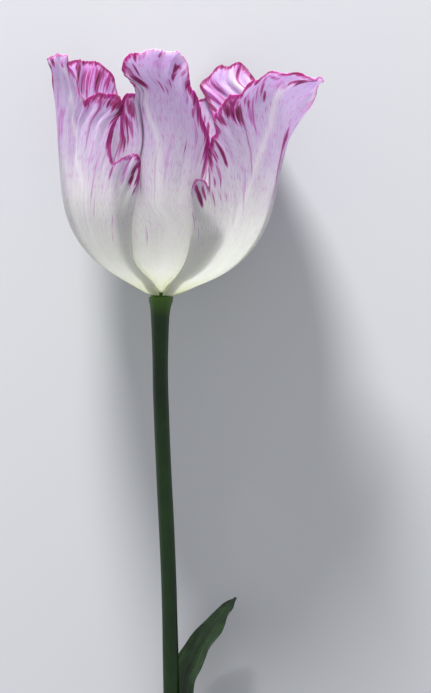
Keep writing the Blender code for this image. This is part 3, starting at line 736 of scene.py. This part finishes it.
# Path: aside and height. Radii: height and radius. Top: height and radius of the
# receptacle's dome. CutRings: the shares of the radius that close the cut.
stemShape = {
    "path": [(0, -0.65), (-0.3, -8), (-0.2, -26), (0.2, -40), (0.95, -58), (1.9, -77), (2.65, -97),
             (3.1, -117), (3.5, -135), (4.2, -165), (4.6, -200), (4.7, -235), (4.4, -270)],
    "radii": [(-0.65, 3.9), (-1.7, 3.85), (-4, 3.3), (-8, 2.9), (-14, 2.65), (-26, 2.45),
              (-100, 2.45), (-117, 2.55), (-170, 2.7), (-270, 2.9)],
    "top": [(1.3, 0), (1.3, 2.2), (1.15, 2.6), (0.8, 3.1), (0.3, 3.25), (-0.45, 3.25)],
    "sides": 48,
    "rings": 150,
    "crowding": 1.7,      # draws the rings towards the bloom
    "cutRings": (0.97, 0.8, 0.55, 0.3, 0.0),
    "ribs": 6,
    "ribHeight": 0.03,
    "ribTwist": 0.012,    # radians a millimetre
    "lumpHeight": 0.05,
    "lumps": 0.05,        # noise steps a millimetre
}


# the rows' values where the one at key comes down to this height
def atHeight(rows, key, height):
    low, high = 0.0, len(rows) - 1.0
    for _ in range(40):
        middle = 0.5 * (low + high)
        if between(rows, middle)[key] > height:
            low = middle
        else:
            high = middle
    return between(rows, low)


def stemMesh():
    top = stemShape["radii"][0][0]
    foot = stemShape["radii"][-1][0]
    rings = [(0.0, height, radius) for height, radius in stemShape["top"]]
    for i in range(stemShape["rings"] + 1):
        height = top + (foot - top) * (i / stemShape["rings"]) ** stemShape["crowding"]
        aside = atHeight(stemShape["path"], 1, height)[0]
        rings.append((aside, height, atHeight(stemShape["radii"], 0, height)[1]))
    aside, height, radius = rings[-1]
    rings += [(aside, height, radius * part) for part in stemShape["cutRings"]]

    def place(angle, f):
        aside, height, radius = rings[round(f * (len(rings) - 1))]
        turn = stemShape["ribs"] * angle + height * stemShape["ribTwist"]
        rib = stemShape["ribHeight"] * math.cos(turn)
        lump = noiseAt(math.cos(angle), math.sin(angle), height * stemShape["lumps"])
        rib += stemShape["lumpHeight"] * lump
        radius = radius + rib * smooth(radius - 0.5)
        return Vector((aside + radius * math.cos(angle), radius * math.sin(angle), height))

    mesh = wrappedMesh("flower_stem", stemShape["sides"], len(rings) - 1, place, flowerPlace)
    # marks the points of the cut, which shows the stem's pale inside, but not its rim
    cut = mesh.attributes.new("cut", "FLOAT", "POINT")
    standing = flowerPlace.inverted()
    for vert in mesh.vertices:
        spot = standing @ vert.co
        across = math.hypot(spot.x - rings[-1][0], spot.y)
        inside = spot.z < foot + 0.01 and across < stemShape["radii"][-1][1] * 0.93
        cut.data[vert.index].value = float(inside)
    return mesh


# living plant skin: smooth, a little waxy, with fine lengthwise fibres
def stemSkinMaterial():
    made, add = newMaterial("tulip stem skin")
    place = add("TexCoord", {}).outputs["Object"]
    cut = add("Attribute", {}, attribute_name="cut").outputs["Fac"]
    # fibres about 0.4 mm apart run along the stem, which lies near enough along Y
    along = add("Mapping", {"Vector": place, "Scale": (1.0, 0.04, 1.0)})
    fibres = add("TexNoise", {"Vector": along, "Scale": 2400.0, "Detail": 3.0})
    clouds = add("TexNoise", {"Vector": place, "Scale": 60.0, "Detail": 3.0})
    blend = add("Math", {0: fibres, 1: 0.5, 2: 0.25}, operation="MULTIPLY_ADD")
    both = add("Math", {0: blend, 1: clouds}, operation="MULTIPLY")
    # a very dark green: the stem's own colour, darkened further as painted shade
    green = add(
        "ValToRGB", {"Fac": both}, [(0.12, "#0a2204"), (0.28, "#123108"), (0.45, "#204410")])
    # paler and yellower just under the bloom
    height = add("SeparateXYZ", {"Vector": place}).outputs["Y"]
    near = add("MapRange", {"Value": height, "From Min": 0.088, "From Max": 0.0965})
    collar = add("Mix", {"Factor": near, 6: green, 7: hexColour("#4a7416")}, data_type="RGBA")
    pith = add("TexVoronoi", {"Vector": place, "Scale": 1900.0})
    inside = add("ValToRGB", {"Fac": pith}, [(0.1, "#7d9350"), (0.45, "#c2cc95")])
    colour = add("Mix", {"Factor": cut, 6: collar, 7: inside}, data_type="RGBA")
    shine = add("MapRange", {"Value": clouds, "To Min": 0.36, "To Max": 0.52})
    bump = add("Bump", {"Strength": 0.25, "Distance": 0.0002, "Height": fibres})
    return finishMaterial(made, add("BsdfPrincipled", {
        "Base Color": colour, "Roughness": shine, "IOR": 1.42, "Normal": bump,
        "Subsurface Weight": 0.08, "Subsurface Radius": (0.5, 1.0, 0.3),
        "Subsurface Scale": 0.0008}))


newPiece(stemMesh(), stemSkinMaterial(), "stem", "stem")
print("cut tulip: stem")


# each station: the midrib's place, half width, radius of the curl and its bearing in degrees
leafShape = {
    "stations": [
        (7.67, 1.78, -198, 6.9, 3.55, 30), (7.65, 1.85, -185, 7.5, 3.7, 30),
        (7.9, 2.2, -168, 8.6, 4.6, 32), (8, 3.4, -150, 9.5, 6.5, 38),
        (7.6, 4.8, -136, 9.6, 9, 40), (8.4, 6, -124.5, 8.4, 12, 34),
        (12.3, 7.2, -114, 6.8, 16, 34), (17.4, 8.6, -105.5, 4.8, 20, 34),
        (21.4, 9.8, -100, 2.6, 25, 34), (24, 10.6, -97, 0.5, 30, 34),
    ],
    "thickness": 0.8,
    "edgeThickness": 0.4,
    "columns": 64,
    "rows": 200,
    "edgeWidth": 2.5,    # the blade thins over this far from its edge
    "freeFrom": 0.35,    # the share of its length where the leaf leaves the stem
    "freeReach": 0.3,
    "wave": 0.7,         # the free edges rise and fall by up to half of this
    "waves": 14.0,
    "keel": 0.35,        # the midrib's groove
    "keelWidth": 0.16,   # as a share of the half width
    "length": 10.4,      # centimetres, for the UV
}


def leafPoint(across, along):
    stations = leafShape["stations"]
    last = len(stations) - 1
    place = along * last
    x, y, z, halfWidth, curl, bearing = between(stations, place)
    near = 0.05
    tangent = (Vector(between(stations, min(last, place + near))[:3])
               - Vector(between(stations, max(0.0, place - near))[:3])).normalized()
    bearing = math.radians(bearing)
    back = Vector((math.cos(bearing), math.sin(bearing), 0.0))
    back = (back - tangent * back.dot(tangent)).normalized()
    side = tangent.cross(back)
    aside = 2.0 * across - 1.0
    turn = aside * halfWidth / curl
    free = smooth((along - leafShape["freeFrom"]) / leafShape["freeReach"])
    groove = math.exp(-((aside / leafShape["keelWidth"]) ** 2))
    lift = leafShape["keel"] * free * groove * min(1.0, halfWidth / 4.0)
    waves = noiseAt(along * leafShape["waves"], aside * 1.5, 4.0)
    lift += leafShape["wave"] * free * aside * aside * waves
    radius = curl + lift
    middle = Vector((x, y, z)) - back * curl
    return middle + back * radius * math.cos(turn) + side * radius * math.sin(turn)


def leafSheet():
    bm = bmesh.new()
    uvLayer = bm.loops.layers.uv.new("veins")
    columns, rows = leafShape["columns"], leafShape["rows"]
    bmesh.ops.create_grid(bm, x_segments=columns, y_segments=rows, size=1.0)
    edgeLayer = bm.verts.layers.deform.verify()
    spots = {}
    for vert in bm.verts:
        across, along = 0.5 + 0.5 * vert.co.x, 0.5 + 0.5 * vert.co.y
        width = between(leafShape["stations"], along * (len(leafShape["stations"]) - 1))[3]
        inside = min(across, 1.0 - across) * 2.0 * width
        vert[edgeLayer][0] = edgeShare(leafShape, inside)
        spots[vert.index] = ((across - 0.5) * width * 0.2, along * leafShape["length"])
        vert.co = leafPoint(across, along)
    return finishSheet(bm, "stem_leaf", uvLayer, spots, flowerPlace)


# a tulip leaf: satin, with parallel veins, a slight waxy bloom, and a very dark green that is
# partly painted shade
def leafSkinMaterial():
    made, add = newMaterial("tulip leaf skin")
    uv = add("UVMap", {}, uv_map="veins")
    # UV is in centimetres: veins lie about 0.7 mm apart
    stretch = add("Mapping", {"Vector": uv, "Scale": (1.0, 0.05, 1.0)})
    veins = add(
        "TexNoise", {"Vector": stretch, "Scale": 13.0, "Detail": 3.0}, noise_dimensions="2D")
    clouds = add("TexNoise", {"Vector": uv, "Scale": 1.4, "Detail": 3.0}, noise_dimensions="2D")
    both = add("Math", {0: veins, 1: clouds}, operation="MULTIPLY")
    # a very dark green: the leaf's own colour, darkened further as painted shade
    green = add(
        "ValToRGB", {"Fac": both}, [(0.12, "#092204"), (0.27, "#112f08"), (0.42, "#224612")])
    bump = add("Bump", {"Strength": 0.4, "Distance": 0.0003, "Height": veins})
    return finishMaterial(made, add("BsdfPrincipled", {
        "Base Color": green, "Roughness": 0.46, "IOR": 1.42, "Normal": bump,
        "Subsurface Weight": 0.08, "Subsurface Radius": (0.5, 1.0, 0.3),
        "Subsurface Scale": 0.0006}))


leaf = newPiece(leafSheet(), leafSkinMaterial(), "leaf", "leaf")
thicken(leaf, leafShape["thickness"])
print("cut tulip: leaf")


# height, radius, and how three-lobed the pistil is there
pistilShape = {
    "rows": [(1.7, 1.4, 0), (3, 2.1, 0.04), (6, 3, 0.08), (12, 3.4, 0.1), (18, 3.2, 0.1),
             (21.5, 2.5, 0.08), (22.8, 2.4, 0.15), (24.2, 3.6, 0.3), (25.6, 3.6, 0.34),
             (26, 2.2, 0.3), (25.6, 0.9, 0.1)],
    "sides": 72,
    "rings": 90,
    "stigmaFrom": 22.8,
    "stigmaReach": 1.5,
    "crest": 0.12,       # the stigma's fine wrinkles
    "crests": 7.0,
    "groove": 0.05,      # the ovary's three furrows
}
tip = 0.01               # the share of a closed grid at either end that is drawn to a point


# the rows' values along a piece whose two ends are closed to a point
def closedRow(rows, f):
    inner = min(1.0, max(0.0, (f - 2.0 * tip) / (1.0 - 4.0 * tip)))
    return between(rows, inner * (len(rows) - 1)), tip <= f <= 1.0 - tip


def pistilPoint(angle, f):
    (height, radius, lobes), drawn = closedRow(pistilShape["rows"], f)
    if not drawn:
        radius = 0.0
    stigma = smooth((height - pistilShape["stigmaFrom"]) / pistilShape["stigmaReach"])
    furrow = math.exp(-((math.sin(1.5 * angle) / 0.25) ** 2))
    groove = 1.0 - pistilShape["groove"] * (1.0 - stigma) * furrow
    step = pistilShape["crests"]
    crest = noiseAt(math.cos(angle) * step, math.sin(angle) * step, height * 1.2)
    wrinkle = 1.0 + pistilShape["crest"] * stigma * crest
    radius *= (1.0 + lobes * math.cos(3.0 * angle)) * groove * wrinkle
    return Vector((radius * math.cos(angle), radius * math.sin(angle), height))


# the ovary is smooth and waxy green, the stigma cream and velvety
def pistilMaterial():
    made, add = newMaterial("tulip ovary and stigma")
    uv = add("UVMap", {}, uv_map="wrap")
    place = add("TexCoord", {}).outputs["Object"]
    height = add("SeparateXYZ", {"Vector": uv}).outputs["Y"]
    velvet = add("TexNoise", {"Vector": place, "Scale": 2600.0, "Detail": 3.0})
    uneven = add("Math", {0: velvet, 1: 0.06, 2: height}, operation="MULTIPLY_ADD")
    colour = add(
        "ValToRGB", {"Fac": uneven}, [(0.0, "#b9c48a"), (0.3, "#8fa552"), (0.55, "#9aab5c"),
        (0.66, "#e3dca6"), (1.0, "#efe7b6")])
    bump = add("Bump", {"Strength": 0.4, "Distance": 0.0002, "Height": velvet})
    return finishMaterial(made, add("BsdfPrincipled", {
        "Base Color": colour, "Roughness": 0.5, "IOR": 1.42, "Normal": bump,
        "Subsurface Weight": 0.15, "Subsurface Radius": (1.0, 1.0, 0.5),
        "Subsurface Scale": 0.001}))


sides, rings = pistilShape["sides"], pistilShape["rings"]
pistilMesh = wrappedMesh("flower_pistil", sides, rings, pistilPoint, bloomPlace)
newPiece(pistilMesh, pistilMaterial(), "pistil", "pistil")


# radius, height and half thickness up a filament, then its anther's centre and half sizes
stamenShape = {
    "count": 6,
    "first": -3.0,           # the first one's azimuth in degrees
    "filament": [(2.75, 1.75, 0.55), (3.5, 4.2, 0.6), (4.8, 8.0, 0.55), (6.1, 12.0, 0.4)],
    "flatness": 0.7,
    "centre": (6.9, 18.4),
    "half": (1.15, 1.5, 6.0),
    "lean": 6.0,
    "groove": 0.22,
}


# filaments are flattened cream threads, smooth and a little waxy
def filamentMaterial():
    made, add = newMaterial("tulip filament")
    place = add("TexCoord", {}).outputs["Object"]
    grain = add("TexNoise", {"Vector": place, "Scale": 900.0, "Detail": 2.0})
    colour = add("ValToRGB", {"Fac": grain}, [(0.3, "#cfc793"), (0.7, "#ece6c4")])
    return finishMaterial(made, add("BsdfPrincipled", {
        "Base Color": colour, "Roughness": 0.45, "IOR": 1.42, "Subsurface Weight": 0.2,
        "Subsurface Radius": (1.0, 1.0, 0.7), "Subsurface Scale": 0.0006}))


# anthers are powdery with ripe pollen, grains drawn at 0.15 mm so that they show
def antherMaterial():
    made, add = newMaterial("tulip pollen")
    place = add("TexCoord", {}).outputs["Object"]
    grains = add("TexVoronoi", {"Vector": place, "Scale": 6500.0})
    colour = add(
        "ValToRGB", {"Fac": grains}, [(0.0, "#4a3350"), (0.5, "#221527"), (1.0, "#120a16")])
    bump = add("Bump", {"Strength": 0.7, "Distance": 0.0001, "Height": grains}, invert=True)
    return finishMaterial(made, add("BsdfPrincipled", {
        "Base Color": colour, "Roughness": 0.85, "Normal": bump}))


filamentSkin = filamentMaterial()
pollen = antherMaterial()
for number in range(stamenShape["count"]):
    azimuth = math.radians(stamenShape["first"] + 360.0 * number / stamenShape["count"])
    outwards = Vector((math.sin(azimuth), -math.cos(azimuth), 0.0))
    sideways = Vector((math.cos(azimuth), math.sin(azimuth), 0.0))

    def filamentPoint(angle, f):
        (radius, height, thick), drawn = closedRow(stamenShape["filament"], f)
        if not drawn:
            thick = 0.0
        flat = stamenShape["flatness"] * thick
        across = outwards * (radius + flat * math.cos(angle)) + sideways * thick * math.sin(angle)
        return across + Vector((0.0, 0.0, height))

    def antherPoint(angle, f):
        polar = math.pi * f
        thick, wide, half = stamenShape["half"]
        groove = 1.0 - stamenShape["groove"] * math.cos(angle) ** 4
        swell = math.sin(polar) ** 0.75
        return Vector((thick * groove * swell * math.cos(angle), wide * swell * math.sin(angle),
                       -half * math.cos(polar)))

    threadMesh = wrappedMesh(f"flower_filament_{number + 1}", 16, 30, filamentPoint, bloomPlace)
    newPiece(threadMesh, filamentSkin, "filament", f"filament_{number + 1}")
    radius, height = stamenShape["centre"]
    turn = Matrix.Rotation(math.atan2(outwards.y, outwards.x), 4, "Z")
    lean = Matrix.Rotation(math.radians(stamenShape["lean"]), 4, "Y")
    centre = Matrix.Translation(outwards * radius + Vector((0.0, 0.0, height)))
    where = bloomPlace @ centre @ turn @ lean
    podMesh = wrappedMesh(f"flower_anther_{number + 1}", 28, 28, antherPoint, where)
    newPiece(podMesh, pollen, "anther", f"anther_{number + 1}")
print("cut tulip: pistil and stamens")


# metres, unless a note says otherwise
studio = {
    "floorSize": 3.0,
    "floor": "#d0d1d4",
    "keyFrom": (-0.2, 0.88, 0.36),        # the lamp's direction
    "keyDistance": 1.4,
    "keySize": 0.36,
    "keyPower": 33.0,
    "fill": "#eef0f5",
    "fillStrength": 0.6,
    "lens": 1000.0,
    "frameHeight": 221.8,                 # the photo's height in millimetres of the flower
    "frameCentre": (17.44, 0.0, -16.5),   # in millimetres from the bloom's foot
}


def makeFloor():
    bm = bmesh.new()
    bmesh.ops.create_grid(bm, x_segments=1, y_segments=1, size=studio["floorSize"] / 2.0)
    # a hair under what lies flat on the table
    bmesh.ops.translate(bm, verts=bm.verts, vec=(0.0, 0.0, -0.0002))
    mesh = finishMesh(bm, "studio_floor")
    made, add = newMaterial("matt paper floor")
    shader = add("BsdfPrincipled", {"Base Color": hexColour(studio["floor"]), "Roughness": 0.9})
    mesh.materials.append(finishMaterial(made, shader))
    floor = newObject("studio_floor", mesh)


def makeLights():
    aim = flowerPlace @ Vector((0.0, 0.0, 40.0))
    towards = Vector(studio["keyFrom"]).normalized()
    lamp = bpy.data.lights.new("key", "AREA")
    lamp.shape = "DISK"
    lamp.size = studio["keySize"]
    lamp.energy = studio["keyPower"]
    key = newObject("key", lamp)
    key.location = aim + towards * studio["keyDistance"]
    key.rotation_euler = towards.to_track_quat("Z", "Y").to_euler()
    world = bpy.data.worlds.new("studio")
    world.use_nodes = True
    sky = world.node_tree.nodes["Background"]
    sky.inputs["Color"].default_value = hexColour(studio["fill"])
    sky.inputs["Strength"].default_value = studio["fillStrength"]
    bpy.context.scene.world = world


def makeCamera():
    data = bpy.data.cameras.new("camera")
    data.sensor_width = 36.0
    data.lens = studio["lens"]
    camera = newObject("camera", data)
    distance = studio["lens"] * studio["frameHeight"] / data.sensor_width
    aim = Vector(studio["frameCentre"])
    camera.location = flowerPlace @ (aim + Vector((0.0, -distance, 0.0)))
    camera.rotation_euler = (math.radians(lying["rise"]), 0.0, 0.0)
    data.clip_end = 20.0
    bpy.context.scene.camera = camera


makeFloor()
makeLights()
makeCamera()
bpy.context.scene.view_settings.view_transform = "Standard"

print("cut tulip: done")
